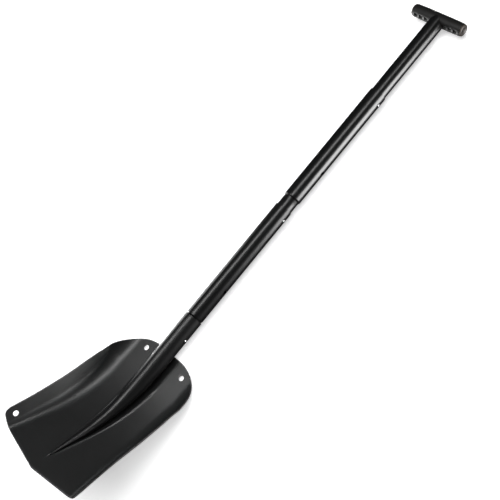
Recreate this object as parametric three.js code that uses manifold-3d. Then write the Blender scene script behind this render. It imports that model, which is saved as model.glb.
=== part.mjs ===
// Avalanche shovel: a pressed aluminium blade, two tapered shaft tubes and a
// T-handle that plug into each other and lock with sprung snap buttons.
// Millimetres, +Z up. The shovel lies on its back with the scoop upwards, the
// shaft runs along Y and the grip is at +Y.
import * as THREE from 'three';
import { mergeVertices } from 'three/addons/utils/BufferGeometryUtils.js';
import Module from 'manifold-3d';

const wasm = await Module();
wasm.setup();

// Shaft tubes
const TUBE_OD = 34;
const WALL = 1.4;
const SWAGE_OD = 30.6;
const TUBE_BODY = 259; // full-diameter length of each shaft tube
const SWAGE_LENGTH = 107; // reduced end that plugs into the next tube
const STEP_TAPER = 8;
const BUTTON_BELOW_STEP = 43;
const HOLE_BELOW_RIM = 20;
const HOLE_SPACING = 168; // between the two handle positions
const NECK = BUTTON_BELOW_STEP - HOLE_BELOW_RIM;

// Snap buttons and their spring clips
const HOLE_D = 8.6;
const BUTTON_HOLE_D = 8.2;
const BUTTON_D = 7.4;
const BUTTON_TOP = 18.9; // from the shaft axis
const CLIP_WIDTH = 7.4;
const CLIP_GAUGE = 0.8;
const CLIP_LEG = 11.4; // centre of a leg from the shaft axis

// Handle
const STEM_BUTTON_ABOVE_END = 20;
const GRIP_ABOVE_RIM = 189; // grip axis above the upper tube's rim
const GRIP_HALF = 58;
const GRIP_R = 13;
const GRIP_BORE_R = 7.6;
const SADDLE_TOP = 1.5; // tip of the stem's V-cut end above the grip axis
const RECESS_PITCH = 12;

// Blade and socket
const SOCKET_OD = 35;
const SOCKET_BORE = 31.2;
const SOCKET_HOLE = 43; // below the socket rim
const SHEET = 2;
const SHEET_TOP = 76.5; // below the socket rim, along the shaft
const FLOOR_DEPTH = 17.8; // scoop floor behind the shaft axis at the top edge
const BLADE_LENGTH = 317; // along the curved floor
const BLADE_HOLE_D = 10;

const rad = THREE.MathUtils.degToRad;
const smooth = THREE.MathUtils.smoothstep;

// Position of every joint face along the shaft, with the socket rim at 0
const LOWER_RIM = TUBE_BODY;
const UPPER_STEP = LOWER_RIM + NECK;
const UPPER_RIM = UPPER_STEP + TUBE_BODY;
const STEM_END = UPPER_RIM - HOLE_BELOW_RIM - STEM_BUTTON_ABOVE_END;
const GRIP_Y = UPPER_RIM + GRIP_ABOVE_RIM;

const finish = (color, roughness, metalness) =>
  new THREE.MeshStandardMaterial({ color, roughness, metalness });
const coated = finish(0x161718, 0.36, 0.5);
const coatedBlade = finish(0x131414, 0.42, 0.5);
const nylon = finish(0x121212, 0.6, 0);
const springSteel = finish(0xb9bcc0, 0.3, 1);
const buttonSteel = finish(0xc9ccd0, 0.25, 1);

/** A closed three.js geometry as a solid that can be cut and joined. */
function solidOf(geometry) {
  const bare = geometry.clone();
  bare.deleteAttribute('normal');
  bare.deleteAttribute('uv');
  const g = mergeVertices(bare, 1e-4);
  const at = g.attributes.position;
  const kept = [];
  const a = new THREE.Vector3(), b = new THREE.Vector3(), c = new THREE.Vector3();
  let volume = 0;
  for (let n = 0; n < g.index.count; n += 3) {
    const t = [0, 1, 2].map((k) => g.index.getX(n + k));
    if (t[0] === t[1] || t[1] === t[2] || t[2] === t[0]) continue;
    [a, b, c].forEach((v, k) => v.fromBufferAttribute(at, t[k]));
    volume += a.dot(b.cross(c));
    kept.push(t);
  }
  const triVerts = kept.flatMap((t) => (volume < 0 ? [t[0], t[2], t[1]] : t));
  return new wasm.Manifold(new wasm.Mesh({
    numProp: 3,
    vertProperties: new Float32Array(at.array),
    triVerts: new Uint32Array(triVerts),
  }));
}

/** A named mesh made from a solid. */
function piece(name, solid, material) {
  const out = solid.getMesh();
  const g = new THREE.BufferGeometry();
  g.setAttribute('position', new THREE.Float32BufferAttribute(out.vertProperties, 3));
  g.setIndex(new THREE.Uint32BufferAttribute(out.triVerts, 1));
  g.computeVertexNormals();
  const mesh = new THREE.Mesh(g, material);
  mesh.name = name;
  return mesh;
}

/** A body turned about the Y axis from [radius, y] pairs, closed on itself. */
function turned(profile, segments = 40) {
  const points = [...profile, profile[0]].map(([r, y]) => new THREE.Vector2(r, y));
  return new THREE.LatheGeometry(points, segments);
}

/** A cylinder along X through the shaft at height y. */
const crossPin = (y, d, length = 60) =>
  solidOf(new THREE.CylinderGeometry(d / 2, d / 2, length, 24)
    .rotateZ(Math.PI / 2).translate(0, y, 0));

/** A closed body from rings of equal length. The ends are filled by fans. */
function loft(rings) {
  const n = rings[0].length;
  const points = rings.flat();
  const index = [];
  for (let j = 0; j + 1 < rings.length; j++) {
    for (let i = 0; i < n; i++) {
      const k = (i + 1) % n;
      const [p, q, r, s] = [j * n + i, j * n + k, (j + 1) * n + k, (j + 1) * n + i];
      index.push(p, q, r, p, r, s);
    }
  }
  for (const [first, back] of [[0, true], [(rings.length - 1) * n, false]]) {
    const middle = points.length;
    const ring = points.slice(first, first + n);
    points.push(ring.reduce((sum, p) => sum.add(p), new THREE.Vector3()).divideScalar(n));
    for (let i = 0; i < n; i++) {
      const [p, q] = [first + i, first + ((i + 1) % n)];
      index.push(...(back ? [middle, q, p] : [middle, p, q]));
    }
  }
  const g = new THREE.BufferGeometry().setFromPoints(points);
  g.setIndex(index);
  return g;
}

/** Smooth curve through [station, value] knots, flat beyond both ends. */
function curveThrough(knots) {
  return (s) => {
    if (s <= knots[0][0]) return knots[0][1];
    const last = knots.length - 1;
    if (s >= knots[last][0]) return knots[last][1];
    const k = knots.findIndex(([at]) => at > s) - 1;
    const slope = (i) => {
      const [p, q] = [knots[Math.max(i - 1, 0)], knots[Math.min(i + 1, last)]];
      return (q[1] - p[1]) / (q[0] - p[0]);
    };
    const [[s0, v0], [s1, v1]] = [knots[k], knots[k + 1]];
    const h = s1 - s0, u = (s - s0) / h;
    const [m0, m1] = [slope(k) * h, slope(k + 1) * h];
    return v0 + u * (m0 + u * (3 * (v1 - v0) - 2 * m0 - m1 + u * (2 * (v0 - v1) + m0 + m1)));
  };
}

// The scoop's floor line: stations along the curved sheet, from its top edge
const floorSlope = (s) => rad(3.5 + 33 * smooth(s, 25.5, 240.5));
const FLOOR = [];
for (let s = 0, d = SHEET_TOP, z = -FLOOR_DEPTH; s <= 340; s++) {
  FLOOR.push([d, z]);
  d += Math.cos(floorSlope(s + 0.5));
  z += Math.sin(floorSlope(s + 0.5));
}
/** A point at station s, x to the side and h above the scoop's floor. */
function onBlade(s, x, h) {
  const k = Math.min(Math.floor(Math.max(s, 0)), FLOOR.length - 2);
  const u = s - k;
  const [d, z] = [0, 1].map((i) => FLOOR[k][i] + u * (FLOOR[k + 1][i] - FLOOR[k][i]));
  const tilt = floorSlope(s);
  return new THREE.Vector3(x, -(d - h * Math.sin(tilt)), z + h * Math.cos(tilt));
}

// How the section changes along the blade
const rimX = curveThrough([[75, 99], [110, 100.5], [150, 101], [200, 102], [255, 105.5], [310, 111]]);
const rimHeight = curveThrough([[65, 22], [95, 31], [135, 36.5], [195, 37], [255, 31], [305, 26]]);
const wallAngle = curveThrough([[195, rad(62)], [305, rad(59)]]);
const foldR = curveThrough([[75, 34], [195, 29], [305, 16]]);
const grooveHalf = curveThrough([[5, 25], [60, 25.5], [92, 24], [154, 18.8], [224, 9.8], [288, 0.8]]);
const grooveDepth = curveThrough([[5, 2.6], [65, 4.2], [195, 4.4], [250, 3.2], [288, 0.1]]);
const coneR = curveThrough([[35, 17.5], [65, 16.9], [95, 15.6], [154, 10.8], [220, 5.8], [279, 1]]);
const coneHeight = curveThrough([[35, 15.7], [65, 14], [95, 11.8], [154, 6.9], [220, 2.7], [279, 0.6]]);

/** The scoop face's section at station s: half-width parts and a function of arc length. */
function sectionAt(s) {
  const [R, angle, c] = [foldR(s), wallAngle(s), grooveHalf(s)];
  const depth = s > 288 ? 0 : grooveDepth(s);
  const rise = R * (1 - Math.cos(angle));
  const wall = (rimHeight(s) - rise) / Math.sin(angle);
  const flat = rimX(s) - R * Math.sin(angle) - wall * Math.cos(angle);
  const point = (w) => {
    if (w <= flat) {
      const u = Math.min(w / c, 1);
      return [w, -depth * (1 - smooth(u, 0.42, 1))];
    }
    const turn = Math.min((w - flat) / R, angle);
    const rest = w - flat - R * turn;
    return [
      flat + R * Math.sin(turn) + rest * Math.cos(angle),
      R * (1 - Math.cos(turn)) + rest * Math.sin(angle),
    ];
  };
  return { c, flat, fold: R * angle, wall, half: flat + R * angle + wall, point };
}

// Columns of the sheet from the middle to the rim: [part of the section, share of it]
const COLUMNS = [
  ...[0, 0.3, 0.5, 0.66, 0.82].map((u) => ['c', u]),
  ...[0, 0.08, 0.4, 0.72].map((u) => ['flat', u]),
  ...[0, 1, 2, 3, 4, 5].map((n) => ['fold', n / 6]),
  ...[0, 0.35, 0.65, 0.85, 0.96, 1].map((u) => ['wall', u]),
];
function columnWidth([part, u], s) {
  const at = sectionAt(s);
  const start = { c: 0, flat: at.c, fold: at.flat, wall: at.flat + at.fold }[part];
  const size = { c: at.c, flat: at.flat - at.c, fold: at.fold, wall: at.wall }[part];
  return start + u * size;
}
/** Where a column starts, on the rounded shoulder, and ends, on the pointed edge. */
function columnEnds(column) {
  const x = sectionAt(60).point(columnWidth(column, 60))[0];
  const u = Math.min(Math.max((x - 25) / (rimX(60) - 25), 0), 0.9995);
  const top = 70 * (1 - Math.sqrt(1 - u * u));
  const w = columnWidth(column, 296);
  const inCorner = Math.max(w - (sectionAt(296).half - 11), 0);
  return [top, BLADE_LENGTH - 0.165 * w - (11 - Math.sqrt(121 - Math.min(inCorner, 10.99) ** 2))];
}

function bladeSheet() {
  const ROWS = 34;
  const columns = [...COLUMNS.slice(1).reverse().map((k) => [-1, k]), ...COLUMNS.map((k) => [1, k])];
  const faces = [0, SHEET].map((back) => columns.map(([side, column]) => {
    const [from, to] = columnEnds(column);
    return Array.from({ length: ROWS + 1 }, (_, j) => {
      const s = from + (to - from) * (j / ROWS);
      const section = sectionAt(s);
      const w = columnWidth(column, s);
      const [x, h] = section.point(w);
      const [x0, h0] = section.point(Math.max(w - 0.4, 0));
      const [x1, h1] = section.point(w + 0.4);
      const lean = w < 0.5 ? 0 : Math.atan2(h1 - h0, x1 - x0);
      return onBlade(s, side * (x + back * Math.sin(lean)), h - back * Math.cos(lean));
    });
  }));
  const points = faces.flat(2);
  const [n, m] = [columns.length, ROWS + 1];
  const id = (face, i, j) => face * n * m + i * m + j;
  const index = [];
  const quad = (a, b, c, d) => index.push(a, b, c, a, c, d);
  for (let i = 0; i + 1 < n; i++) {
    for (let j = 0; j + 1 < m; j++) {
      quad(id(0, i, j), id(0, i, j + 1), id(0, i + 1, j + 1), id(0, i + 1, j));
      quad(id(1, i, j), id(1, i + 1, j), id(1, i + 1, j + 1), id(1, i, j + 1));
    }
    quad(id(0, i, 0), id(0, i + 1, 0), id(1, i + 1, 0), id(1, i, 0));
    quad(id(0, i, m - 1), id(1, i, m - 1), id(1, i + 1, m - 1), id(0, i + 1, m - 1));
  }
  for (let j = 0; j + 1 < m; j++) {
    quad(id(0, 0, j), id(1, 0, j), id(1, 0, j + 1), id(0, 0, j + 1));
    quad(id(0, n - 1, j), id(0, n - 1, j + 1), id(1, n - 1, j + 1), id(1, n - 1, j));
  }
  const g = new THREE.BufferGeometry().setFromPoints(points);
  g.setIndex(index);
  return solidOf(g);
}

/** A round cutter through the sheet, square to it at station s and arc length w. */
function sheetDrill(s, side, w) {
  const section = sectionAt(s);
  const [x, h] = section.point(w);
  const [x1, h1] = section.point(w + 0.5);
  const lean = Math.atan2(h1 - h, x1 - x);
  const from = onBlade(s, side * (x - 9 * Math.sin(lean)), h + 9 * Math.cos(lean));
  const to = onBlade(s, side * (x + 9 * Math.sin(lean)), h - 9 * Math.cos(lean));
  const g = new THREE.CylinderGeometry(BLADE_HOLE_D / 2, BLADE_HOLE_D / 2, 18, 24);
  g.applyQuaternion(new THREE.Quaternion().setFromUnitVectors(
    new THREE.Vector3(0, 1, 0), to.clone().sub(from).normalize()));
  const middle = from.add(to).divideScalar(2);
  return solidOf(g.translate(middle.x, middle.y, middle.z));
}

/** The socket: a straight bore that runs out into a closed cone along the groove. */
function socketTube() {
  const STEPS = 32;
  const ring = (s, r) => {
    const centre = onBlade(s, 0, coneHeight(s));
    const ahead = onBlade(s + 1, 0, coneHeight(s + 1)).sub(onBlade(s - 1, 0, coneHeight(s - 1)));
    const up = new THREE.Vector3(0, ahead.z, -ahead.y).normalize();
    return Array.from({ length: STEPS }, (_, i) => {
      const a = (i / STEPS) * 2 * Math.PI;
      return centre.clone().add(new THREE.Vector3(r * Math.sin(a), 0, 0))
        .addScaledVector(up, r * Math.cos(a));
    });
  };
  const straight = (y, r) => Array.from({ length: STEPS }, (_, i) => {
    const a = (i / STEPS) * 2 * Math.PI;
    return new THREE.Vector3(r * Math.sin(a), y, r * Math.cos(a));
  });
  const stations = [56, 68, 82, 98, 114, 130, 146, 162, 178, 194, 210, 226, 242, 260, 277];
  const R = SOCKET_OD / 2, r = SOCKET_BORE / 2;
  const outer = solidOf(loft([
    straight(0, R), straight(-60, R), straight(-SHEET_TOP - 37, R),
    ...stations.map((s) => ring(s, coneR(s))),
  ]));
  const bore = solidOf(loft([
    straight(5, r), straight(-SHEET_TOP - 37, r),
    ...stations.slice(0, 11).map((s) => ring(s, coneR(s) - (R - r))),
  ]));
  return outer.subtract(bore).subtract(crossPin(-SOCKET_HOLE, HOLE_D));
}

/** A weld bead in the corner under the socket. */
function weldBead(side) {
  const [from, to] = [8, 50].map((s) => onBlade(s, side * 9.6, s < 20 ? -0.1 : -1.6));
  const g = new THREE.CapsuleGeometry(1.3, from.distanceTo(to), 4, 10);
  g.applyQuaternion(new THREE.Quaternion().setFromUnitVectors(
    new THREE.Vector3(0, 1, 0), to.clone().sub(from).normalize()));
  const middle = from.add(to).divideScalar(2);
  return solidOf(g.translate(middle.x, middle.y, middle.z));
}

/** A shaft tube whose step is at y = step. */
function shaftTube(step) {
  const [R, r] = [TUBE_OD / 2, SWAGE_OD / 2];
  const [rim, end] = [step + TUBE_BODY, step - SWAGE_LENGTH];
  let tube = solidOf(turned([
    [R, step + 3], [R, rim - 0.6], [R - 0.6, rim], [R - WALL, rim],
    [R - WALL, step + STEP_TAPER], [r - WALL, step + 0.5], [r - WALL, end + 2.4],
    [r - WALL - 1.6, end + 0.8], [r - WALL - 1.4, end], [r - 2.2, end],
    [r - 0.5, end + 1.2], [r, end + 3], [r, step + 0.4], [r + 0.8, step + 1],
  ]));
  for (const below of [HOLE_BELOW_RIM, HOLE_BELOW_RIM + HOLE_SPACING]) {
    tube = tube.subtract(crossPin(rim - below, HOLE_D));
  }
  return tube.subtract(crossPin(step - BUTTON_BELOW_STEP, BUTTON_HOLE_D));
}

/** The handle tube. Its end is cut to a V whose two tips reach over the grip. */
function handleStem() {
  const [r, tip] = [SWAGE_OD / 2, GRIP_Y + SADDLE_TOP];
  const blank = solidOf(turned([
    [r, STEM_END + 3], [r, tip], [r - WALL, tip], [r - WALL, STEM_END + 2.4],
    [r - WALL - 1.6, STEM_END + 0.8], [r - WALL - 1.4, STEM_END], [r - 2.2, STEM_END],
    [r - 0.5, STEM_END + 1.2],
  ]));
  const cut = [[0, tip], [40, tip - 38], [40, tip + 5], [-40, tip + 5], [-40, tip - 38]];
  const wedge = new THREE.ExtrudeGeometry(
    new THREE.Shape(cut.map(([x, y]) => new THREE.Vector2(x, y))),
    { depth: 40, bevelEnabled: false },
  );
  return blank.subtract(solidOf(wedge.translate(0, 0, -20)))
    .subtract(crossPin(GRIP_Y, 2 * GRIP_R + 1, 80))
    .subtract(crossPin(STEM_END + STEM_BUTTON_ABOVE_END, BUTTON_HOLE_D));
}

/** The moulded grip: a hollow bar with finger recesses and a spigot into the stem. */
function gripBar() {
  const end = GRIP_HALF - 3;
  const half = [[GRIP_R, 20], [12.8, 40], [12.5, end - 3], [12.2, end - 1], [11.4, end]];
  const mirrored = half.map(([r, x]) => [r, -x]).reverse();
  const bar = turned([[0, -end], ...mirrored, ...half, [0, end]], 36).rotateZ(Math.PI / 2);
  let grip = solidOf(bar);
  for (const side of [-1, 1]) {
    const bore = new THREE.CylinderGeometry(GRIP_BORE_R, GRIP_BORE_R, 38, 28);
    grip = grip.subtract(solidOf(bore.rotateZ(Math.PI / 2).translate(side * 41, 0, 0)));
    for (const n of [0, 1, 2]) {
      const recess = new THREE.BoxGeometry(7.4, 6, 15)
        .translate(side * (21.5 + n * RECESS_PITCH), -12.1, 0);
      grip = grip.subtract(solidOf(recess));
    }
  }
  const spigot = new THREE.CylinderGeometry(13.4, 13.4, 44, 36).translate(0, -23.5, 0);
  return grip.add(solidOf(spigot)).translate([0, GRIP_Y, 0]);
}

function gripCap(side) {
  const plug = turned([
    [0, 0], [10.2, 0], [11.3, -0.8], [11.7, -2], [11.7, -2.6], [7.2, -2.6], [7.2, -10], [5.8, -10],
    [5.8, -3.4], [0, -3.4],
  ], 32).rotateZ(-side * Math.PI / 2);
  return solidOf(plug.translate(side * GRIP_HALF, GRIP_Y, 0));
}

/** A flat steel strip bent to a V, with a button on the end of each leg. */
function springClip(y) {
  const leg = [[CLIP_LEG, y - 6.5], [CLIP_LEG, y + 7], [CLIP_LEG - 1.2, y + 11]];
  const bend = [6, 5, 4, 3, 2, 1, 0].map((n) => {
    const a = (n / 6) * rad(82) + rad(8) * (n / 6);
    return [5 * Math.sin(a), y + 33 + 5 * Math.cos(a)];
  });
  const half = [...leg, ...bend];
  const line = [...half, ...half.slice(0, -1).reverse().map(([x, v]) => [-x, v])];
  const offset = (by) => line.map(([x, v], i) => {
    const [p, q] = [line[Math.max(i - 1, 0)], line[Math.min(i + 1, line.length - 1)]];
    const [dx, dy] = [q[0] - p[0], q[1] - p[1]];
    const size = Math.hypot(dx, dy);
    return new THREE.Vector2(x + (by * dy) / size, v - (by * dx) / size);
  });
  const outline = [...offset(CLIP_GAUGE / 2), ...offset(-CLIP_GAUGE / 2).reverse()];
  const g = new THREE.ExtrudeGeometry(new THREE.Shape(outline), {
    depth: CLIP_WIDTH, bevelEnabled: false,
  });
  return solidOf(g.translate(0, 0, -CLIP_WIDTH / 2));
}

/** A flanged snap button that points to one side. */
function snapButton(y, side) {
  const [base, r] = [CLIP_LEG + CLIP_GAUGE / 2 + 0.3, BUTTON_D / 2];
  const button = turned([
    [0, base], [4.4, base], [4.4, base + 0.6], [r, base + 0.6], [r, BUTTON_TOP - 1.8],
    [r - 0.5, BUTTON_TOP - 0.9], [r - 1.5, BUTTON_TOP - 0.25], [0, BUTTON_TOP],
  ], 24);
  return solidOf(button.rotateZ(-side * Math.PI / 2).translate(0, y, 0));
}

let sheet = bladeSheet();
for (const side of [-1, 1]) {
  sheet = sheet.subtract(sheetDrill(21, side, 49.3)).subtract(sheetDrill(280.5, side, 107.3));
}

const shovel = new THREE.Group();
shovel.add(
  piece('blade', sheet, coatedBlade),
  piece('socket_tube', socketTube(), coatedBlade),
  piece('lower_shaft', shaftTube(0), coated),
  piece('upper_shaft', shaftTube(UPPER_STEP), coated),
  piece('handle_stem', handleStem(), coated),
  piece('grip_bar', gripBar(), nylon),
);
const CLIPS = {
  lower: -BUTTON_BELOW_STEP,
  upper: UPPER_STEP - BUTTON_BELOW_STEP,
  handle: STEM_END + STEM_BUTTON_ABOVE_END,
};
for (const [place, y] of Object.entries(CLIPS)) {
  shovel.add(piece(`${place}_clip`, springClip(y), springSteel));
}
for (const [name, side] of [['left', -1], ['right', 1]]) {
  shovel.add(piece(`weld_${name}`, weldBead(side), coatedBlade));
  shovel.add(piece(`grip_cap_${name}`, gripCap(side), nylon));
  for (const [place, y] of Object.entries(CLIPS)) {
    shovel.add(piece(`${place}_button_${name}`, snapButton(y, side), buttonSteel));
  }
}

// The origin is at the middle of the footprint, on the surface it lies on
const box = new THREE.Box3().setFromObject(shovel);
shovel.position.set(0, -(box.min.y + box.max.y) / 2, -box.min.z);
shovel.updateMatrixWorld(true);

export default shovel;
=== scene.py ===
"""Avalanche shovel on a pale studio floor: pressed blade on a conical socket, two plug-in
shaft tubes and a moulded T-grip, all finished in black. The frame is in metres, and the
pieces' own lengths are millimetres along the shaft from the socket's rim."""

import math

import bmesh
import bpy
from mathutils import Matrix, Vector


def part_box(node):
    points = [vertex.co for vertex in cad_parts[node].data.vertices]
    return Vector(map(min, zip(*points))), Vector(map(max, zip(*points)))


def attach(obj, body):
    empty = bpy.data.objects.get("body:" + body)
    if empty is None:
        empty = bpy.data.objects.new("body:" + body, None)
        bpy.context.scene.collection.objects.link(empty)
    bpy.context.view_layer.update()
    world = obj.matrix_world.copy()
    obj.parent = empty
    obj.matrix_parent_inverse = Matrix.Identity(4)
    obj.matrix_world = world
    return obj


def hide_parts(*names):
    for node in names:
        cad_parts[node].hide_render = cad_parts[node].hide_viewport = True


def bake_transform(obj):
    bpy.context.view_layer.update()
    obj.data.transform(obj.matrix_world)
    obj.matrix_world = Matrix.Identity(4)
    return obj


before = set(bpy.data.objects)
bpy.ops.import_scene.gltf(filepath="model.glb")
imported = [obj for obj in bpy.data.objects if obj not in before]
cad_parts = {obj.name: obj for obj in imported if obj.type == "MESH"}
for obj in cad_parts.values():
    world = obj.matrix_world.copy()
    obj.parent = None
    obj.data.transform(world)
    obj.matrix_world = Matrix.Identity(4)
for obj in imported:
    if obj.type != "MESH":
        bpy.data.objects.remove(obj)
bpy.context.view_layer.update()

MM = 0.001
RIM_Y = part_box("socket_tube")[1].y
SHAFT_LOW, SHAFT_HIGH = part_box("lower_shaft")
AXIS_Z = (SHAFT_LOW.z + SHAFT_HIGH.z) / 2


def at(x, y, z):
    """A point in the frame, from millimetres off the shaft's axis and the socket's rim."""
    return Vector((x * MM, RIM_Y + y * MM, AXIS_Z + z * MM))


# ---------------------------------------------------------------- curves of the pressing


def smooth(v, low, high):
    t = min(max((v - low) / (high - low), 0.0), 1.0)
    return t * t * (3 - 2 * t)


def curve_through(knots):
    """Smooth curve through (station, value) knots, flat beyond both ends."""

    def value(s):
        if s <= knots[0][0]:
            return knots[0][1]
        if s >= knots[-1][0]:
            return knots[-1][1]
        k = next(n for n, (at_s, _) in enumerate(knots) if at_s > s) - 1

        def slope(i):
            p, q = knots[max(i - 1, 0)], knots[min(i + 1, len(knots) - 1)]
            return (q[1] - p[1]) / (q[0] - p[0])

        (s0, v0), (s1, v1) = knots[k], knots[k + 1]
        h = s1 - s0
        u = (s - s0) / h
        m0, m1 = slope(k) * h, slope(k + 1) * h
        return v0 + u * (m0 + u * (3 * (v1 - v0) - 2 * m0 - m1 + u * (2 * (v0 - v1) + m0 + m1)))

    return value


SHEET_TOP = 76.5
FLOOR_DEPTH = 17.8
BLADE_LENGTH = 317
CORNER_R = 11
CORNER_AT = 296  # station where the front corners are measured
EDGE_RAKE = 0.165  # how far the pointed edge draws back for each unit of width
SHOULDER_AT = 60  # station where the shoulders are measured
SHOULDER_FROM, SHOULDER_DROP = 25, 70
GROOVE_ENDS = 288
LIP_SHARE = 0.24  # height of the groove's rolled lip, against the groove's depth
NOSE_LIP = 0.25  # what the lip gains beside the cone's nose
LIP_WIDTH = 1.9
GROOVE_FLOOR = 0.42  # share of the groove's half width that is flat
rim_x = curve_through([(75, 99), (110, 100.5), (150, 101), (200, 102), (255, 105.5), (310, 111)])
rim_height = curve_through([(65, 22), (95, 31), (135, 36.5), (195, 37), (255, 31), (305, 26)])
wall_angle = curve_through([(195, math.radians(62)), (305, math.radians(59))])
fold_r = curve_through([(75, 34), (195, 29), (305, 16)])
groove_half = curve_through([(5, 25), (60, 25.5), (92, 24), (154, 18.8), (224, 9.8), (288, 0.8)])
groove_depth = curve_through([(5, 2.6), (65, 4.2), (195, 4.4), (250, 3.2), (288, 0.1)])
cone_r = curve_through([(35, 17.5), (65, 16.9), (95, 15.6), (154, 10.8), (220, 5.8), (279, 1)])
cone_height = curve_through([(35, 15.7), (65, 14), (95, 11.8), (154, 6.9), (220, 2.7), (279, 0.6)])


def floor_slope(s):
    return math.radians(3.5 + 33 * smooth(s, 25.5, 240.5))


FLOOR_LINE = []
_d, _z = SHEET_TOP, -FLOOR_DEPTH
for _s in range(341):
    FLOOR_LINE.append((_d, _z))
    _d += math.cos(floor_slope(_s + 0.5))
    _z += math.sin(floor_slope(_s + 0.5))


def on_blade(s, x, h):
    """A point at station s, x to the side and h above the scoop's floor."""
    k = min(int(max(s, 0)), len(FLOOR_LINE) - 2)
    u = s - k
    d, z = (FLOOR_LINE[k][i] + u * (FLOOR_LINE[k + 1][i] - FLOOR_LINE[k][i]) for i in (0, 1))
    tilt = floor_slope(s)
    return at(x, -(d - h * math.sin(tilt)), z + h * math.cos(tilt))


def section_at(s):
    """The scoop face's section at station s."""
    r, angle, c = fold_r(s), wall_angle(s), groove_half(s)
    depth = 0 if s > GROOVE_ENDS else groove_depth(s)
    rise = r * (1 - math.cos(angle))
    wall = (rim_height(s) - rise) / math.sin(angle)
    flat = rim_x(s) - r * math.sin(angle) - wall * math.cos(angle)

    lip = (LIP_SHARE * depth * smooth(s, 55, 85)
           + NOSE_LIP * smooth(s, 200, 240) * (s < GROOVE_ENDS))

    def point(w):
        if w <= flat:
            roll = lip * math.exp(-((w - c) / LIP_WIDTH) ** 2)
            return w, roll - depth * (1 - smooth(min(w / c, 1), GROOVE_FLOOR, 1))
        turn = min((w - flat) / r, angle)
        rest = w - flat - r * turn
        return (flat + r * math.sin(turn) + rest * math.cos(angle),
                r * (1 - math.cos(turn)) + rest * math.sin(angle))

    return {"c": c, "flat": flat, "fold": r * angle, "wall": wall,
            "half": flat + r * angle + wall, "point": point}


# Mesh lines along the blade, by stretch of its section, closest beside the rolled lip
COLUMNS = (
    [("c", u) for u in (0, 0.1, 0.2, 0.3, 0.38, 0.44, 0.5, 0.56, 0.62, 0.68, 0.74, 0.79, 0.84,
                        0.88, 0.92, 0.95, 0.98)]
    + [("flat", u) for u in (0, 0.02, 0.04, 0.065, 0.09, 0.13, 0.2, 0.3, 0.4, 0.5, 0.6, 0.7,
                             0.8, 0.9)]
    + [("fold", n / 16) for n in range(16)]
    + [("wall", n / 11) for n in range(12)]
)


def column_width(column, s):
    part, u = column
    a = section_at(s)
    start = {"c": 0, "flat": a["c"], "fold": a["flat"], "wall": a["flat"] + a["fold"]}[part]
    size = {"c": a["c"], "flat": a["flat"] - a["c"], "fold": a["fold"], "wall": a["wall"]}[part]
    return start + u * size


def column_ends(column):
    """Where a column starts, on the rounded shoulder, and ends, on the pointed edge."""
    x = section_at(SHOULDER_AT)["point"](column_width(column, SHOULDER_AT))[0]
    u = min(max((x - SHOULDER_FROM) / (rim_x(SHOULDER_AT) - SHOULDER_FROM), 0), 0.9995)
    top = SHOULDER_DROP * (1 - math.sqrt(1 - u * u))
    w = column_width(column, CORNER_AT)
    corner_from = section_at(CORNER_AT)["half"] - CORNER_R
    in_corner = min(max(w - corner_from, 0), CORNER_R - 0.01)
    rounded = CORNER_R - math.sqrt(CORNER_R**2 - in_corner**2)
    return top, BLADE_LENGTH - EDGE_RAKE * w - rounded


# ---------------------------------------------------------------- making pieces


def object_from(bm, name):
    mesh = bpy.data.meshes.new(name)
    bm.to_mesh(mesh)
    bm.free()
    for face in mesh.polygons:
        face.use_smooth = True
    made = bpy.data.objects.new(name, mesh)
    bpy.context.scene.collection.objects.link(made)
    return made


def dress(piece, body, slot, material, *nodes):
    """Puts a finished piece on its body, in its finish, in place of its CAD nodes."""
    piece.data.materials.clear()
    piece.data.materials.append(material)
    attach(piece, body)
    if nodes:
        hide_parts(*nodes)


def thicken(piece, wall, edge=0.45, segments=3):
    """Gives a sheet its wall on its back, and rolls the edges."""
    solid = piece.modifiers.new("wall", "SOLIDIFY")
    solid.thickness = wall * MM
    solid.offset = -1
    solid.use_even_offset = True
    roll = piece.modifiers.new("rolled_edges", "BEVEL")
    roll.width = edge * MM
    roll.segments = segments
    roll.limit_method = "ANGLE"
    roll.angle_limit = math.radians(50)
    roll.harden_normals = True
    return piece


def settle(piece):
    """Makes the modifiers' result the piece's own mesh."""
    evaluated = piece.evaluated_get(bpy.context.evaluated_depsgraph_get())
    shaped = bpy.data.meshes.new_from_object(evaluated)
    piece.modifiers.clear()
    piece.data = shaped
    return piece


def punch(bm, a0, b0, radius, reach):
    """Opens a round hole in a flat sheet, and eases the mesh round it."""
    centre = Vector((a0, b0, 0))
    inside = [v for v in bm.verts if (v.co - centre).length < radius]
    near = [v for v in bm.verts if (v.co - centre).length < radius + reach]
    bmesh.ops.delete(bm, geom=inside, context="VERTS")
    near = [v for v in near if v.is_valid]
    for v in near:
        if v.is_boundary:
            v.co = centre + (v.co - centre).normalized() * radius
    around = [v for v in near if not v.is_boundary]
    for _ in range(6):
        bmesh.ops.smooth_vert(bm, verts=around, factor=0.5, use_axis_x=True, use_axis_y=True,
                              use_axis_z=False)


def sheet(columns, rows, flatten, holes, place, reach=4.0):
    """A sheet laid out flat, punched, and then brought to its shape."""
    bm = bmesh.new()
    bmesh.ops.create_grid(bm, x_segments=columns, y_segments=rows, size=0.5)
    for v in bm.verts:
        a, b = flatten(v.co.x + 0.5, v.co.y + 0.5)
        v.co = Vector((a, b, 0))
    for a0, b0, radius in holes:
        punch(bm, a0, b0, radius, reach)
    for v in bm.verts:
        v.co = place(v.co.x, v.co.y)
    bmesh.ops.remove_doubles(bm, verts=bm.verts, dist=1e-6)
    bmesh.ops.recalc_face_normals(bm, faces=bm.faces)
    return bm


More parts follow.
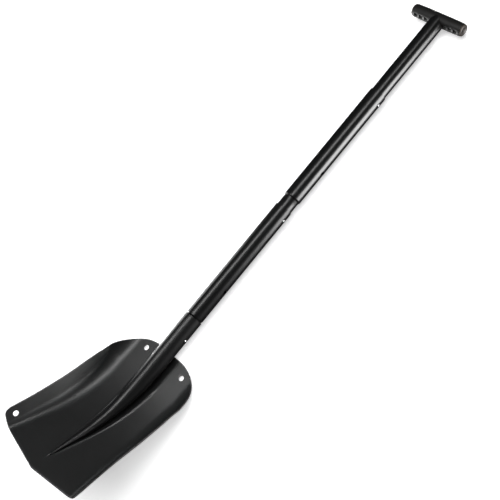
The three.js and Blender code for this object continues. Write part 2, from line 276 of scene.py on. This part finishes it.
def turned(profile, steps=64):
    """A body turned about the X axis from (along, radius) pairs, in millimetres."""
    bm = bmesh.new()
    line = [bm.verts.new((a * MM, r * MM, 0)) for a, r in profile]
    edges = [bm.edges.new(pair) for pair in zip(line, line[1:])]
    bmesh.ops.spin(bm, geom=line + edges, cent=(0, 0, 0), axis=(1, 0, 0),
                   angle=2 * math.pi, steps=steps, use_merge=True)
    bmesh.ops.remove_doubles(bm, verts=bm.verts, dist=1e-6)
    bmesh.ops.recalc_face_normals(bm, faces=bm.faces)
    return bm


def row_stops(stops, step):
    """Ring positions between stops, no further apart than step."""
    out = [stops[0]]
    for p, q in zip(stops, stops[1:]):
        n = max(int(math.ceil(abs(q - p) / step)), 1)
        out += [p + (q - p) * k / n for k in range(1, n + 1)]
    return out


# ---------------------------------------------------------------- finishes


def links(tree):
    return tree.links.new


def group_of(name, inputs, outputs):
    """A new shader node group with named sockets."""
    tree = bpy.data.node_groups.new(name, "ShaderNodeTree")
    for label, kind, value in inputs:
        socket = tree.interface.new_socket(name=label, in_out="INPUT", socket_type=kind)
        if value is not None:
            socket.default_value = value
    for label, kind in outputs:
        tree.interface.new_socket(name=label, in_out="OUTPUT", socket_type=kind)
    return tree, tree.nodes.new("NodeGroupInput"), tree.nodes.new("NodeGroupOutput")


def add(tree, kind, **settings):
    node = tree.nodes.new(kind)
    for key, value in settings.items():
        if key.startswith("in_"):
            node.inputs[key[3:].replace("_", " ")].default_value = value
        else:
            setattr(node, key, value)
    return node


def math_node(tree, operation, *values, clamp=False):
    node = tree.nodes.new("ShaderNodeMath")
    node.operation = operation
    node.use_clamp = clamp
    for n, value in enumerate(values):
        if hasattr(value, "is_output"):
            tree.links.new(value, node.inputs[n])
        else:
            node.inputs[n].default_value = value
    return node.outputs[0]


def edge_wear_group():
    """Mask of the rubbed edges, broken up so that the rub comes and goes."""
    tree, enter, leave = group_of(
        "edge_wear",
        [("Vector", "NodeSocketVector", None), ("Start", "NodeSocketFloat", 0.53),
         ("Full", "NodeSocketFloat", 0.6), ("Breakup", "NodeSocketFloat", 180.0)],
        [("Mask", "NodeSocketFloat")])
    geometry = add(tree, "ShaderNodeNewGeometry")
    spread = add(tree, "ShaderNodeMapRange")
    patchy = add(tree, "ShaderNodeTexNoise", in_Detail=4.0, in_Roughness=0.62)
    link = links(tree)
    link(geometry.outputs["Pointiness"], spread.inputs["Value"])
    link(enter.outputs["Start"], spread.inputs["From Min"])
    link(enter.outputs["Full"], spread.inputs["From Max"])
    link(enter.outputs["Vector"], patchy.inputs["Vector"])
    link(enter.outputs["Breakup"], patchy.inputs["Scale"])
    broken = math_node(tree, "SMOOTH_MIN", spread.outputs[0], 1.0, 0.05)
    patches = math_node(tree, "MULTIPLY_ADD", patchy.outputs["Fac"], 2.4, -0.75, clamp=True)
    link(math_node(tree, "MULTIPLY", broken, patches, clamp=True), leave.inputs["Mask"])
    return tree


def grain_group():
    """Fine pebbled grain of a baked or moulded surface, with its soft wider waviness."""
    tree, enter, leave = group_of(
        "fine_grain",
        [("Vector", "NodeSocketVector", None), ("Size", "NodeSocketFloat", 2200.0),
         ("Waviness", "NodeSocketFloat", 0.35)],
        [("Height", "NodeSocketFloat"), ("Mottle", "NodeSocketFloat")])
    pebble = add(tree, "ShaderNodeTexVoronoi", feature="SMOOTH_F1", in_Smoothness=0.8)
    drift = add(tree, "ShaderNodeTexNoise", in_Scale=38.0, in_Detail=3.0)
    mottle = add(tree, "ShaderNodeTexNoise", in_Scale=14.0, in_Detail=5.0, in_Roughness=0.6)
    link = links(tree)
    for texture in (pebble, drift, mottle):
        link(enter.outputs["Vector"], texture.inputs["Vector"])
    link(enter.outputs["Size"], pebble.inputs["Scale"])
    waves = math_node(tree, "MULTIPLY", drift.outputs["Fac"], enter.outputs["Waviness"])
    link(math_node(tree, "ADD", pebble.outputs["Distance"], waves), leave.inputs["Height"])
    link(mottle.outputs["Fac"], leave.inputs["Mottle"])
    return tree


def handling_group():
    """Faint rub marks and dust specks left by handling."""
    tree, enter, leave = group_of(
        "handling_marks",
        [("Vector", "NodeSocketVector", None), ("Amount", "NodeSocketFloat", 0.5)],
        [("Mask", "NodeSocketFloat")])
    stretch = add(tree, "ShaderNodeMapping")
    stretch.inputs["Scale"].default_value = (240.0, 22.0, 240.0)
    stretch.inputs["Rotation"].default_value = (0.2, 0.1, 0.35)
    rubs = add(tree, "ShaderNodeTexNoise", in_Scale=1.0, in_Detail=6.0, in_Roughness=0.7)
    specks = add(tree, "ShaderNodeTexVoronoi", in_Scale=420.0)
    link = links(tree)
    link(enter.outputs["Vector"], stretch.inputs["Vector"])
    link(stretch.outputs["Vector"], rubs.inputs["Vector"])
    link(enter.outputs["Vector"], specks.inputs["Vector"])
    streak = math_node(tree, "MULTIPLY_ADD", rubs.outputs["Fac"], 5.0, -2.9, clamp=True)
    speck = math_node(tree, "LESS_THAN", specks.outputs["Distance"], 0.045)
    both = math_node(tree, "MAXIMUM", streak, speck)
    link(math_node(tree, "MULTIPLY", both, enter.outputs["Amount"], clamp=True),
         leave.inputs["Mask"])
    return tree


EDGE_WEAR = edge_wear_group()
FINE_GRAIN = grain_group()
HANDLING = handling_group()


def use(tree, group, vector, **values):
    node = tree.nodes.new("ShaderNodeGroup")
    node.node_tree = group
    tree.links.new(vector, node.inputs["Vector"])
    for label, value in values.items():
        node.inputs[label].default_value = value
    return node


def mix_colours(tree, factor, a, b):
    node = add(tree, "ShaderNodeMix", data_type="RGBA")
    for label, value in (("Factor", factor), ("A", a), ("B", b)):
        socket = node.inputs[label]
        if hasattr(value, "is_output"):
            tree.links.new(value, socket)
        else:
            socket.default_value = value
    return node.outputs["Result"]


def finish_of(name, base, worn, rough, rough_swing, grain, grain_depth, wear, specular, marks):
    """A coated or moulded finish: base colour, edge rub, grain, marks and patchy sheen."""
    material = bpy.data.materials.new(name)
    material.use_nodes = True
    tree = material.node_tree
    shader = tree.nodes["Principled BSDF"]
    link = links(tree)
    place = add(tree, "ShaderNodeTexCoord").outputs["Object"]
    edges = use(tree, EDGE_WEAR, place, Start=wear[0], Full=wear[1])
    surface = use(tree, FINE_GRAIN, place, Size=grain)
    handled = use(tree, HANDLING, place, Amount=marks)
    lighter = tuple(min(c * 1.5 + 0.0006, 1.0) for c in base[:3]) + (1.0,)
    tone = mix_colours(tree, surface.outputs["Mottle"], base, lighter)
    marked = mix_colours(tree, handled.outputs["Mask"], tone, lighter)
    link(mix_colours(tree, edges.outputs["Mask"], marked, worn), shader.inputs["Base Color"])
    sheen = math_node(tree, "MULTIPLY_ADD", surface.outputs["Mottle"], rough_swing,
                      rough - rough_swing / 2)
    rubbed = math_node(tree, "MULTIPLY_ADD", handled.outputs["Mask"], 0.12, sheen, clamp=True)
    link(rubbed, shader.inputs["Roughness"])
    bump = add(tree, "ShaderNodeBump")
    bump.inputs["Strength"].default_value = 1.0
    bump.inputs["Distance"].default_value = grain_depth
    link(surface.outputs["Height"], bump.inputs["Height"])
    link(bump.outputs["Normal"], shader.inputs["Normal"])
    shader.inputs["Specular IOR Level"].default_value = specular
    return material


def brushed_steel(name, colour, rough, stretch, depth):
    """Bare steel with fine lines along the way it was worked."""
    material = bpy.data.materials.new(name)
    material.use_nodes = True
    tree = material.node_tree
    shader = tree.nodes["Principled BSDF"]
    link = links(tree)
    place = add(tree, "ShaderNodeTexCoord").outputs["Object"]
    mapping = add(tree, "ShaderNodeMapping")
    mapping.inputs["Scale"].default_value = stretch
    lines = add(tree, "ShaderNodeTexNoise", in_Scale=1.0, in_Detail=5.0, in_Roughness=0.6)
    link(place, mapping.inputs["Vector"])
    link(mapping.outputs["Vector"], lines.inputs["Vector"])
    edges = use(tree, EDGE_WEAR, place, Start=0.55, Full=0.75)
    dark = tuple(c * 0.72 for c in colour[:3]) + (1.0,)
    bright = tuple(min(c * 1.15, 1.0) for c in colour[:3]) + (1.0,)
    tone = mix_colours(tree, lines.outputs["Fac"], dark, colour)
    link(mix_colours(tree, edges.outputs["Mask"], tone, bright), shader.inputs["Base Color"])
    link(math_node(tree, "MULTIPLY_ADD", lines.outputs["Fac"], 0.14, rough - 0.07, clamp=True),
         shader.inputs["Roughness"])
    bump = add(tree, "ShaderNodeBump")
    bump.inputs["Distance"].default_value = depth
    link(lines.outputs["Fac"], bump.inputs["Height"])
    link(bump.outputs["Normal"], shader.inputs["Normal"])
    shader.inputs["Metallic"].default_value = 1.0
    return material


BLADE_COAT = finish_of(
    "black_powder_coat", (0.0088, 0.0091, 0.0091, 1), (0.10, 0.10, 0.103, 1), 0.34, 0.08,
    2600.0, 0.000012, wear=(0.56, 0.68), specular=0.7, marks=0.12)
# The socket and its nose wear the blade's coat painted darker, as painted shade on the round tube.
SHADED_SOCKET_COAT = finish_of(
    "black_socket_coat_painted_shade", (0.0036, 0.0037, 0.0037, 1), (0.09, 0.09, 0.093, 1), 0.33, 0.06,
    2600.0, 0.000008, wear=(0.58, 0.7), specular=0.7, marks=0.1)
TUBE_COAT = finish_of(
    "black_tube_coat", (0.0026, 0.0027, 0.0027, 1), (0.08, 0.08, 0.083, 1), 0.28, 0.03,
    3200.0, 0.000002, wear=(0.6, 0.72), specular=0.6, marks=0.03)
GRIP_NYLON = finish_of(
    "moulded_grip_nylon", (0.0056, 0.0055, 0.0052, 1), (0.03, 0.029, 0.028, 1), 0.48, 0.1,
    1500.0, 0.00006, wear=(0.54, 0.66), specular=0.45, marks=0.2)
CAP_NYLON = finish_of(
    "end_cap_nylon", (0.046, 0.033, 0.024, 1), (0.06, 0.05, 0.04, 1), 0.46, 0.1,
    1500.0, 0.00005, wear=(0.54, 0.66), specular=0.45, marks=0.2)
BUTTON_STEEL = brushed_steel("polished_button_steel", (0.74, 0.75, 0.77, 1), 0.22,
                             (90.0, 1400.0, 1400.0), 0.000004)
CLIP_STEEL = brushed_steel("sprung_strip_steel", (0.55, 0.56, 0.58, 1), 0.34,
                           (900.0, 60.0, 900.0), 0.000006)


# ---------------------------------------------------------------- the blade and its socket

BLADE_WALL = 2.0
BLADE_HOLE_R = 5.0
PUNCH_LENGTH = 14.0
NEARBY = 2  # a short way across and along the sheet, to find its lie at a hole
HEEL_HOLE = (49.3, 21.0)
TIP_HOLE = (107.3, 280.5)
ALL_COLUMNS = [(-1, c) for c in reversed(COLUMNS[1:])] + [(1, c) for c in COLUMNS]
BLADE_ROWS = 150


def press_blade():
    ends = {c: column_ends(c) for c in COLUMNS}
    last = len(ALL_COLUMNS) - 1

    def lay_flat(u, v):
        side, column = ALL_COLUMNS[min(int(round(u * last)), last)]
        top, tip = ends[column]
        s = top + (tip - top) * v
        return side * column_width(column, s), s

    def press(w, s):
        x, h = section_at(s)["point"](abs(w))
        return on_blade(s, math.copysign(x, w), h)

    bm = sheet(last, BLADE_ROWS, lay_flat, [], press)
    open_floor = on_blade(CORNER_AT, 40, 0)
    middle = min(bm.faces, key=lambda f: (f.calc_center_median() - open_floor).length)
    if middle.normal.z < 0:
        bmesh.ops.reverse_faces(bm, faces=bm.faces)
    blade = object_from(bm, "pressed_blade")
    bm = bmesh.new()
    for w, s in (HEEL_HOLE, TIP_HOLE):
        for side in (-1, 1):
            middle = press(side * w, s)
            across = (press(side * (w + NEARBY), s) - middle).normalized()
            along = (press(side * w, s + NEARBY) - middle).normalized()
            turn = across.cross(along).to_track_quat("Z", "Y").to_matrix().to_4x4()
            bmesh.ops.create_cone(bm, cap_ends=True, segments=72, radius1=BLADE_HOLE_R * MM,
                                  radius2=BLADE_HOLE_R * MM, depth=PUNCH_LENGTH * MM,
                                  matrix=Matrix.Translation(middle) @ turn)
    punches = object_from(bm, "lashing_hole_punches")
    thicken(blade, BLADE_WALL, edge=0.6)
    cut = blade.modifiers.new("punched_holes", "BOOLEAN")
    cut.operation, cut.solver, cut.object = "DIFFERENCE", "EXACT", punches
    blade.modifiers.move(2, 1)
    settle(blade)
    bpy.data.objects.remove(punches)
    return blade


dress(press_blade(), "blade_assembly", "black_coated_blade", BLADE_COAT, "blade")

SOCKET_R, SOCKET_WALL = 17.5, 1.9
SOCKET_HOLE, HOLE_R = 43.0, 4.3
CONE_STARTS = 113.5
LEAD_IN, CONE_RUN = 16, 221  # from round tube to cone, and then along the cone
CONE_FROM = 56.0  # the cone's first station on the blade
NOSE_AT, NOSE_R, NOSE_STRETCH = 277, 1.02, 2.2
FINE_SPREAD = 7  # stretch of close rings on each side of a hole
RING = 112


def sleeve(name, stops, ring_at, wall, holes, edge=0.4):
    """A tube from ring positions, with round holes opened through its wall.

    Each sleeve is laid flat at the socket's size, so a hole in a thinner tube says how much
    wider than itself it has to be laid out.
    """

    def lay_flat(u, v):
        index = min(int(round(v * (len(stops) - 1))), len(stops) - 1)
        return u * 2 * math.pi * SOCKET_R, stops[index]

    def roll_up(a, b):
        return ring_at(a / SOCKET_R, b)

    flat_holes = []
    for y, radius, scale in holes:
        for turn in (0.25, 0.75):
            flat_holes.append((turn * 2 * math.pi * SOCKET_R, y, radius * scale))
    bm = sheet(RING, len(stops) - 1, lay_flat, flat_holes, roll_up, reach=3.2)
    outer = max(bm.faces, key=lambda f: f.calc_center_median().z)
    if outer.normal.z < 0:
        bmesh.ops.reverse_faces(bm, faces=bm.faces)
    return thicken(object_from(bm, name), wall, edge=edge)


def cone_ring(angle, s):
    centre = on_blade(s, 0, cone_height(s))
    ahead = on_blade(s + 1, 0, cone_height(s + 1)) - on_blade(s - 1, 0, cone_height(s - 1))
    up = Vector((0, ahead.z, -ahead.y)).normalized()
    r = cone_r(s) * MM
    return centre + Vector((r * math.sin(angle), 0, 0)) + up * (r * math.cos(angle))


def socket_ring(angle, b):
    """b runs down from the rim; past the straight part it is a station on the blade."""
    if b <= CONE_STARTS:
        return at(SOCKET_R * math.sin(angle), -b, SOCKET_R * math.cos(angle))
    s = CONE_FROM + (b - CONE_STARTS - LEAD_IN)
    if s < CONE_FROM:
        lead = (b - CONE_STARTS) / LEAD_IN
        first = at(SOCKET_R * math.sin(angle), -CONE_STARTS, SOCKET_R * math.cos(angle))
        return first.lerp(cone_ring(angle, CONE_FROM), lead)
    return cone_ring(angle, s)


def socket_cone():
    near_hole = [SOCKET_HOLE - FINE_SPREAD, SOCKET_HOLE + FINE_SPREAD]
    stops = (row_stops([0, near_hole[0]], 4) + row_stops(near_hole, 1.2)[1:]
             + row_stops([near_hole[1], CONE_STARTS], 4)[1:]
             + row_stops([CONE_STARTS, CONE_STARTS + LEAD_IN + CONE_RUN], 3)[1:])
    return sleeve("socket_cone", stops, socket_ring, SOCKET_WALL,
                  holes=[(SOCKET_HOLE, HOLE_R, 1.0)], edge=0.5)


dress(socket_cone(), "blade_assembly", "black_coated_blade", SHADED_SOCKET_COAT, "socket_tube")


def nose():
    """The small rounded nose that closes the cone."""
    bm = bmesh.new()
    bmesh.ops.create_uvsphere(bm, u_segments=32, v_segments=16, radius=NOSE_R * MM)
    centre = on_blade(NOSE_AT, 0, cone_height(NOSE_AT))
    bmesh.ops.scale(bm, vec=(1, NOSE_STRETCH, 1), verts=bm.verts)
    bmesh.ops.translate(bm, vec=centre, verts=bm.verts)
    return object_from(bm, "cone_nose")


dress(nose(), "blade_assembly", "black_coated_blade", SHADED_SOCKET_COAT)


BEAD_R, BEAD_RIPPLES, RIPPLE = 1.3, 15, 0.13


def weld_bead(side):
    """A rippled bead in the corner under the socket."""
    start, end = (on_blade(s, side * 9.6, -0.1 if s < 20 else -1.6) for s in (8, 50))
    along = end - start
    steps = 96

    def lay_flat(u, v):
        return u * 2 * math.pi, v * steps

    def roll_up(a, b):
        t = b / steps
        ripple = 1 + RIPPLE * math.sin(t * 2 * math.pi * BEAD_RIPPLES + 0.6 * math.cos(a))
        close = math.sqrt(max(1 - abs(2 * t - 1) ** 14, 0))
        r = BEAD_R * MM * ripple * close
        return start + along * t + Vector((math.sin(a) * r, 0, math.cos(a) * r))

    bm = sheet(28, steps, lay_flat, [], roll_up)
    return object_from(bm, "weld_bead_left" if side < 0 else "weld_bead_right")


for side, name in ((-1, "weld_left"), (1, "weld_right")):
    dress(weld_bead(side), "blade_assembly", "black_coated_blade", BLADE_COAT, name)

# ---------------------------------------------------------------- the shaft tubes

TUBE_R, SWAGE_R, WALL = 17.0, 15.3, 1.4
TUBE_BODY, SWAGE_LENGTH = 259.0, 107.0
BUTTON_BELOW_STEP, HOLE_BELOW_RIM, HOLE_SPACING = 43.0, 20.0, 168.0
NECK = BUTTON_BELOW_STEP - HOLE_BELOW_RIM
BUTTON_HOLE_R = 4.1
BUTTON_HOLE = (BUTTON_HOLE_R, SOCKET_R / SWAGE_R)  # its radius, and how much wider it is laid
END_ROLL, END_DRAW = 3, 0.9  # length of a plugged end's rolled lead-in, and how far it closes


def fine_rows(low, high, centres):
    """Ring positions, close together round each hole and wide apart elsewhere."""
    marks = sorted({low, high, *[c + d for c in centres for d in (-FINE_SPREAD, FINE_SPREAD)]})
    out = [low]
    for p, q in zip(marks, marks[1:]):
        close = any(abs((p + q) / 2 - c) < FINE_SPREAD for c in centres)
        out += row_stops([p, q], 1.2 if close else 12.0)[1:]
    return out


def rolled_in(y, end):
    """How much a tube's plugged end is drawn in at y."""
    t = max((end + END_ROLL - y) / END_ROLL, 0)
    return END_DRAW * t * t


def shaft_tube(name, step):
    rim, end = step + TUBE_BODY, step - SWAGE_LENGTH
    holes = [rim - HOLE_BELOW_RIM, rim - HOLE_BELOW_RIM - HOLE_SPACING]
    button = step - BUTTON_BELOW_STEP
    taper = [step + t for t in (-0.2, 0.3, 0.9, 1.5, 2.2, 3, 3.6)]
    stops = (row_stops([end, end + 0.5, end + 1.2, end + 2, end + END_ROLL], 1)
             + fine_rows(end + END_ROLL, taper[0], [button])[1:] + taper[1:]
             + fine_rows(taper[-1], rim, holes)[1:])

    def ring(angle, y):
        widening = smooth(y, step - 0.2, step + 3.2)
        r = SWAGE_R + (TUBE_R - SWAGE_R) * widening - rolled_in(y, end)
        return at(r * math.sin(angle), y, r * math.cos(angle))

    sizes = [(y, HOLE_R, 1.0) for y in holes] + [(button, *BUTTON_HOLE)]
    return sleeve(name, stops, ring, WALL, holes=sizes)


UPPER_STEP = TUBE_BODY + NECK
UPPER_RIM = UPPER_STEP + TUBE_BODY
dress(shaft_tube("lower_shaft_tube", 0.0), "lower_tube", "black_coated_tube", TUBE_COAT,
      "lower_shaft")
dress(shaft_tube("upper_shaft_tube", UPPER_STEP), "upper_tube", "black_coated_tube", TUBE_COAT,
      "upper_shaft")

# ---------------------------------------------------------------- the T-handle

STEM_BUTTON_ABOVE_END = 20
STEM_END = UPPER_RIM - HOLE_BELOW_RIM - STEM_BUTTON_ABOVE_END
STEM_BUTTON = STEM_END + STEM_BUTTON_ABOVE_END
GRIP_Y = UPPER_RIM + 189
STEM_TIP = GRIP_Y + 1.5
SADDLE_FROM = GRIP_Y - 40  # from here up, the rings lean into the V-cut
SADDLE_RAKE, SADDLE_NOTCH = 0.95, 0.6


def handle_stem():
    lead_in = [STEM_END, STEM_END + 0.5, STEM_END + 1.2, STEM_END + END_ROLL]
    stops = (row_stops(lead_in, 1)
             + fine_rows(lead_in[-1], SADDLE_FROM, [STEM_BUTTON])[1:]
             + row_stops([SADDLE_FROM, STEM_TIP], 2)[1:])

    def ring(angle, y):
        x = SWAGE_R * math.sin(angle)
        if y > SADDLE_FROM:
            reach = (y - SADDLE_FROM) / (STEM_TIP - SADDLE_FROM)
            y -= SADDLE_RAKE * math.sqrt(x * x + SADDLE_NOTCH) * reach
        r = SWAGE_R - rolled_in(y, STEM_END)
        return at(r * math.sin(angle), y, r * math.cos(angle))

    return sleeve("handle_stem_tube", stops, ring, WALL, holes=[(STEM_BUTTON, *BUTTON_HOLE)])


dress(handle_stem(), "handle", "black_coated_tube", TUBE_COAT, "handle_stem")

GRIP_HALF, GRIP_R, CAP = 58.0, 13.0, 3.0
BAR_HALF = GRIP_HALF - CAP
BAR_OUTLINE = [(0, 13.0), (20, 13.0), (40, 12.8), (52, 12.5), (54, 12.2), (BAR_HALF, 11.4)]
BAR_END_R = BAR_OUTLINE[-1][1]
POCKET_FIRST, POCKET_PITCH, POCKETS = 21.5, 12.0, 3
POCKET_ROW = 3.9  # each of the two rows lies this far off the bar's middle
POCKET_HALF_LONG, POCKET_HALF_WIDE, POCKET_EDGE = 2.7, 2.5, 1.1
POCKET_FLOOR = 9.1  # from the bar's axis


def bar_radius(x):
    x = abs(x)
    for (x0, r0), (x1, r1) in zip(BAR_OUTLINE, BAR_OUTLINE[1:]):
        if x <= x1:
            return r0 + (r1 - r0) * (x - x0) / (x1 - x0)
    return BAR_END_R


def pocket_depth(x, z):
    """How deep the pockets towards the blade are at one place, from 0 to 1."""
    deepest = 0.0
    for n in range(POCKETS):
        for row in (1, -1):
            dx = max(abs(abs(x) - (POCKET_FIRST + n * POCKET_PITCH)) - POCKET_HALF_LONG, 0)
            dz = max(abs(z - row * POCKET_ROW) - POCKET_HALF_WIDE, 0)
            deepest = max(deepest, 1 - smooth(math.hypot(dx, dz), 0.0, POCKET_EDGE))
    return deepest


def grip():
    """The moulded bar, dished on the side that the fingers close round."""
    rows = row_stops([-BAR_HALF, BAR_HALF], 0.75)

    def lay_flat(u, v):
        index = min(int(round(v * (len(rows) - 1))), len(rows) - 1)
        return u * 2 * math.pi * GRIP_R, rows[index]

    def roll_up(a, x):
        angle = a / GRIP_R
        r = bar_radius(x)
        y, z = -r * math.cos(angle), r * math.sin(angle)
        if y < -POCKET_FLOOR:
            y += pocket_depth(x, z) * (-POCKET_FLOOR - y)
        return at(x, GRIP_Y + y, z)

    bm = sheet(112, len(rows) - 1, lay_flat, [], roll_up)
    rims = [e for e in bm.edges if e.is_boundary]
    centre = at(0, GRIP_Y, 0)
    for shrink, inward in ((0.93, 0), (0.8, 0), (0.66, 0), (0.66, 7)):
        grown = bmesh.ops.extrude_edge_only(bm, edges=rims)["geom"]
        ring = [g for g in grown if isinstance(g, bmesh.types.BMVert)]
        rims = [g for g in grown if isinstance(g, bmesh.types.BMEdge) and g.is_boundary]
        for v in ring:
            side = 1 if v.co.x > 0 else -1
            flat_y, flat_z = v.co.y - centre.y, v.co.z - centre.z
            size = math.hypot(flat_y, flat_z)
            target = BAR_END_R * MM * shrink
            v.co.y = centre.y + flat_y / size * target
            v.co.z = centre.z + flat_z / size * target
            v.co.x = side * (BAR_HALF - inward) * MM
    bmesh.ops.recalc_face_normals(bm, faces=bm.faces)
    return object_from(bm, "finger_grip")


dress(grip(), "handle", "black_nylon", GRIP_NYLON, "grip_bar")


def end_cap(side):
    """A plug with a domed face that closes one end of the bar."""
    plug = [(-6.0, 0.0), (-6.0, 7.2), (-0.2, 7.2), (0.0, 11.0)]
    dome = [(0.2, 11.5), (0.8, 11.7), (1.4, 11.55), (2.1, 11.0), (2.6, 10.2), (3.0, 9.2)]
    dimple = [(3.0, 6.6), (2.6, 6.2), (2.6, 0.0)]
    bm = turned(plug + dome + dimple)
    turn = Matrix.Identity(4) if side > 0 else Matrix.Rotation(math.pi, 4, "Z")
    bmesh.ops.transform(bm, matrix=turn, verts=bm.verts)
    bmesh.ops.translate(bm, vec=at(side * BAR_HALF, GRIP_Y, 0), verts=bm.verts)
    return object_from(bm, "end_cap_left" if side < 0 else "end_cap_right")


for side, name in ((-1, "grip_cap_left"), (1, "grip_cap_right")):
    dress(end_cap(side), "handle", "black_nylon", CAP_NYLON, name)

# ---------------------------------------------------------------- snap buttons and clips

BUTTON_R, BUTTON_TOP, BUTTON_BASE = 3.7, 18.9, 12.1
FOOT_R, DOME = 4.4, 1.8


def snap_button(name, y, side):
    """A turned pin with a foot that sits on the strip, and a domed top."""
    profile = [(BUTTON_BASE, 0.0), (BUTTON_BASE, FOOT_R - 0.1), (BUTTON_BASE + 0.1, FOOT_R),
               (BUTTON_BASE + 0.5, FOOT_R), (BUTTON_BASE + 0.6, FOOT_R - 0.1),
               (BUTTON_BASE + 0.6, BUTTON_R + 0.1), (BUTTON_BASE + 0.7, BUTTON_R)]
    for n in range(9):
        a = math.pi / 2 * n / 8
        profile.append((BUTTON_TOP - DOME + DOME * math.sin(a),
                        BUTTON_R * (0.42 + 0.58 * math.cos(a))))
    profile.append((BUTTON_TOP, 0.0))
    bm = turned(profile, 48)
    if side < 0:
        bmesh.ops.transform(bm, matrix=Matrix.Rotation(math.pi, 4, "Z"), verts=bm.verts)
    bmesh.ops.translate(bm, vec=at(0, y, 0), verts=bm.verts)
    return object_from(bm, name)


CLIP_LEG, CLIP_HALF_WIDTH, CLIP_GAUGE = 11.4, 3.7, 0.8
BEND_ABOVE_PIN, BEND_R = 33, 5
LEAN_FROM, LEAN_STEPS = 11, 14


def sprung_strip(name, y, side):
    """One leg of the V-strip, whose bend stays in the tube."""
    straight = [(CLIP_LEG, v) for v in row_stops([y - 6.5, y + 7], 1.5)]
    lean = [(CLIP_LEG - 1.2 - 5.2 * k / LEAN_STEPS,
             y + LEAN_FROM + (BEND_ABOVE_PIN - LEAN_FROM) * k / LEAN_STEPS)
            for k in range(LEAN_STEPS + 1)]
    bend = [(BEND_R * math.cos(math.pi / 20 * k),
             y + BEND_ABOVE_PIN + BEND_R * math.sin(math.pi / 20 * k)) for k in range(1, 11)]
    line = straight + lean + bend

    def lay_flat(u, v):
        return u * (len(line) - 1), (v - 0.5) * 2 * CLIP_HALF_WIDTH

    def bend_up(a, b):
        x, along = line[int(round(a))]
        return at(side * x, along, b)

    bm = sheet(len(line) - 1, 6, lay_flat, [], bend_up)
    strip = thicken(object_from(bm, name), CLIP_GAUGE, edge=0.15, segments=2)
    strip.modifiers["wall"].offset = 0
    return settle(strip)


CLIPS = {"lower": -BUTTON_BELOW_STEP, "upper": UPPER_STEP - BUTTON_BELOW_STEP,
         "handle": STEM_BUTTON}
for place, y in CLIPS.items():
    for side, label in ((-1, "left"), (1, "right")):
        pin = snap_button(f"{place}_pin_{label}", y, side)
        dress(pin, f"{place}_{label}_snap", "button_steel", BUTTON_STEEL,
              f"{place}_button_{label}")
        leg = sprung_strip(f"{place}_strip_{label}", y, side)
        leg.data.materials.clear()
        leg.data.materials.append(CLIP_STEEL)
        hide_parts(f"{place}_clip")
        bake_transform(leg)

# ---------------------------------------------------------------- studio


def aim(thing, target):
    thing.rotation_mode = "QUATERNION"
    thing.rotation_quaternion = (target - thing.location).to_track_quat("-Z", "Y")


def area_lamp(name, width, height, power):
    light = bpy.data.lights.new(name, "AREA")
    light.shape = "RECTANGLE"
    light.size, light.size_y = width, height
    light.energy = power
    lamp = bpy.data.objects.new(name, light)
    bpy.context.scene.collection.objects.link(lamp)
    return lamp


def softbox(name, place, target, width, height, power, glossy=True, diffuse=True):
    lamp = area_lamp(name, width, height, power)
    lamp.location = place
    aim(lamp, Vector(target))
    lamp.visible_glossy = glossy
    lamp.visible_diffuse = diffuse


def strip_light(name, start, end, width, power):
    """A long narrow softbox between two points, facing the floor."""
    start, end = Vector(start), Vector(end)
    lamp = area_lamp(name, width, (end - start).length, power)
    along = (end - start).normalized()
    out = Vector((0, 0, 1))
    lamp.matrix_world = Matrix.Translation((start + end) / 2) @ Matrix(
        (along.cross(out), along, out)).transposed().to_4x4()


def studio():
    bm = bmesh.new()
    bmesh.ops.create_grid(bm, x_segments=8, y_segments=8, size=6.0)
    floor = object_from(bm, "studio_floor")
    paper = bpy.data.materials.new("pale_paper")
    paper.use_nodes = True
    shader = paper.node_tree.nodes["Principled BSDF"]
    shader.inputs["Base Color"].default_value = (0.9, 0.9, 0.9, 1)
    shader.inputs["Roughness"].default_value = 0.9
    shader.inputs["Specular IOR Level"].default_value = 0.1
    shader.inputs["Emission Color"].default_value = (1, 1, 1, 1)
    shader.inputs["Emission Strength"].default_value = 0.5
    floor.data.materials.append(paper)
    floor.visible_glossy = False
    floor.visible_shadow = False

    world = bpy.data.worlds.new("studio_air")
    world.use_nodes = True
    air = world.node_tree
    seen = air.nodes.new("ShaderNodeLightPath").outputs["Is Camera Ray"]
    air.links.new(mix_colours(air, seen, (0.022, 0.022, 0.023, 1), (0.86, 0.86, 0.86, 1)),
                  air.nodes["Background"].inputs["Color"])
    bpy.context.scene.world = world

    strip_light("key_strip", (-0.58, -0.55, 1.7), (0.62, 1.22, 1.7), 0.28, 15)
    softbox("ceiling_fill", (-0.2, 0.1, 2.4), (-0.2, 0.1, 0), 3.4, 3.4, 74, glossy=False)
    softbox("right_panel", (1.7, 0.82, -0.34), (0, 0.7, 0.02), 0.95, 1.4, 58, diffuse=False)
    softbox("left_panel", (-1.6, -0.45, -0.12), (0, -0.35, 0.02), 1.2, 0.75, 9, diffuse=False)
    softbox("shoulder_panel", (-0.86, -0.36, 1.7), (0, -0.3, 0), 0.34, 0.36, 1.2, diffuse=False)
    softbox("front_panel", (-0.8, -0.65, -0.6), (0, 0.54, 0.02), 1.1, 0.8, 34, diffuse=False)


studio()

# ---------------------------------------------------------------- camera

STANDS_AT = (0.7886, -0.1892, 1.3022)
LENS, SENSOR = 59.44, 36.0
LOOK_BACK = Vector((0.5215, -0.1053, 0.8467))
LOOK_RIGHT = Vector((0.6929, 0.6313, -0.3483))
camera_data = bpy.data.cameras.new("studio_camera")
camera_data.lens = LENS
camera_data.sensor_width = SENSOR
camera = bpy.data.objects.new("studio_camera", camera_data)
back = LOOK_BACK.normalized()
right = (LOOK_RIGHT - back * LOOK_RIGHT.dot(back)).normalized()
up = back.cross(right)
turn = Matrix((right, up, back)).transposed()
camera.matrix_world = Matrix.Translation(STANDS_AT) @ turn.to_4x4()
bpy.context.scene.collection.objects.link(camera)
bpy.context.scene.camera = camera
bpy.context.scene.view_settings.view_transform = "Standard"
